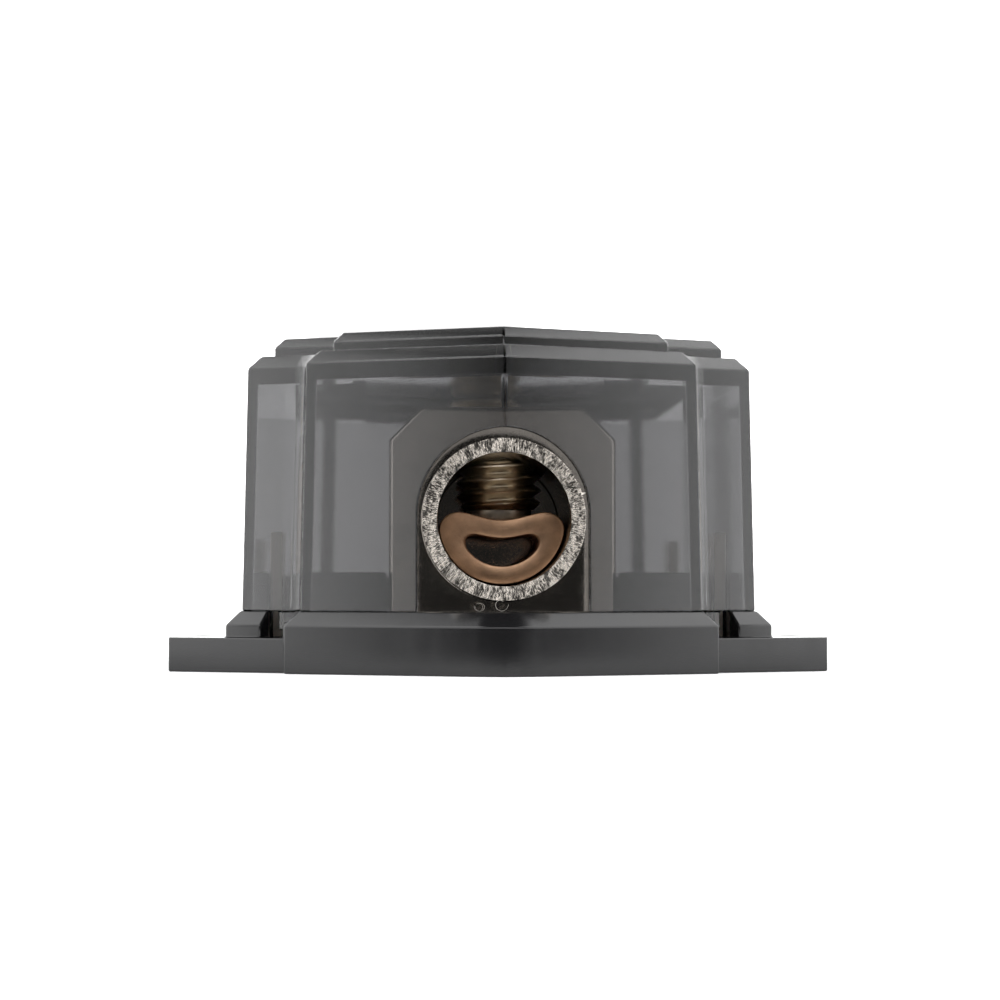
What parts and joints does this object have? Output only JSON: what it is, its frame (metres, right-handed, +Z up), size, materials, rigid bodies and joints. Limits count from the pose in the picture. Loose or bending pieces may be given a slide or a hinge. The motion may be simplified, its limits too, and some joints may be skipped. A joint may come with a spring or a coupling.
{
  "type": "battery monitor shunt",
  "caption": "Inline current shunt: smoked clear cover on a black base with fixing ears, over two screw-clamp terminal blocks joined by resistance strips, with sense tabs.",
  "frame": {"origin": "centre of the underside, on the surface the housing is screwed to", "axes": "+Y along the current path from the front terminal to the rear one, +Z up out of the base, +X across the ears"},
  "size_m": [0.0616, 0.084, 0.0313],
  "materials": {
    "black_plastic": "satin moulded black plastic",
    "smoked_plastic": "polished smoke-grey clear plastic",
    "nickel_plate": "bright nickel plate over brass, tool marks on the mouth",
    "steel_screw": "bright plated steel",
    "nickel_strip": "nickel-plated strip",
    "zinc_screw": "zinc-plated steel",
    "manganin": "bare brown alloy strip",
    "copper": "dull brown copper"
  },
  "bodies": {
    "root": {"base": "black_plastic", "front_terminal_block": "nickel_plate", "rear_terminal_block": "nickel_plate", "front_copper_sleeve": "copper", "front_sense_strap": "nickel_strip", "rear_sense_strap": "nickel_strip", "front_block_screws": "zinc_screw", "rear_block_screws": "zinc_screw", "shunt_strip_1": "manganin", "shunt_strip_2": "manganin", "shunt_strip_3": "manganin", "shunt_strip_4": "manganin"},
    "cover": {"cover": "smoked_plastic"},
    "front_tip": {"front_pressure_tip": "steel_screw"},
    "front_screw": {"front_set_screw": "steel_screw"},
    "rear_tip": {"rear_pressure_tip": "steel_screw"},
    "rear_screw": {"rear_set_screw": "steel_screw"}
  },
  "joints": [
    {"name": "cover_lift", "type": "slide", "parent": "root", "child": "cover", "axis": [0, 0, 1], "range_m": [0, 0.035]},
    {"name": "front_tip_travel", "type": "slide", "parent": "root", "child": "front_tip", "axis": [0, 0, 1], "range_m": [0, 0.00625]},
    {"name": "front_screw_turn", "type": "hinge", "parent": "front_tip", "child": "front_screw", "pos_m": [0, -0.024, 0.0139], "axis": [0, 0, 1], "range_deg": [0, 1800]},
    {"name": "rear_tip_travel", "type": "slide", "parent": "root", "child": "rear_tip", "axis": [0, 0, 1], "range_m": [-0.00875, 0]},
    {"name": "rear_screw_turn", "type": "hinge", "parent": "rear_tip", "child": "rear_screw", "pos_m": [0, 0.024, 0.0139], "axis": [0, 0, 1], "range_deg": [-2520, 0]}
  ],
  "couplings": [
    {"joint": "front_screw_turn", "follows": "front_tip_travel", "rad_per_m": 5026.5},
    {"joint": "rear_screw_turn", "follows": "rear_tip_travel", "rad_per_m": 5026.5}
  ]
}
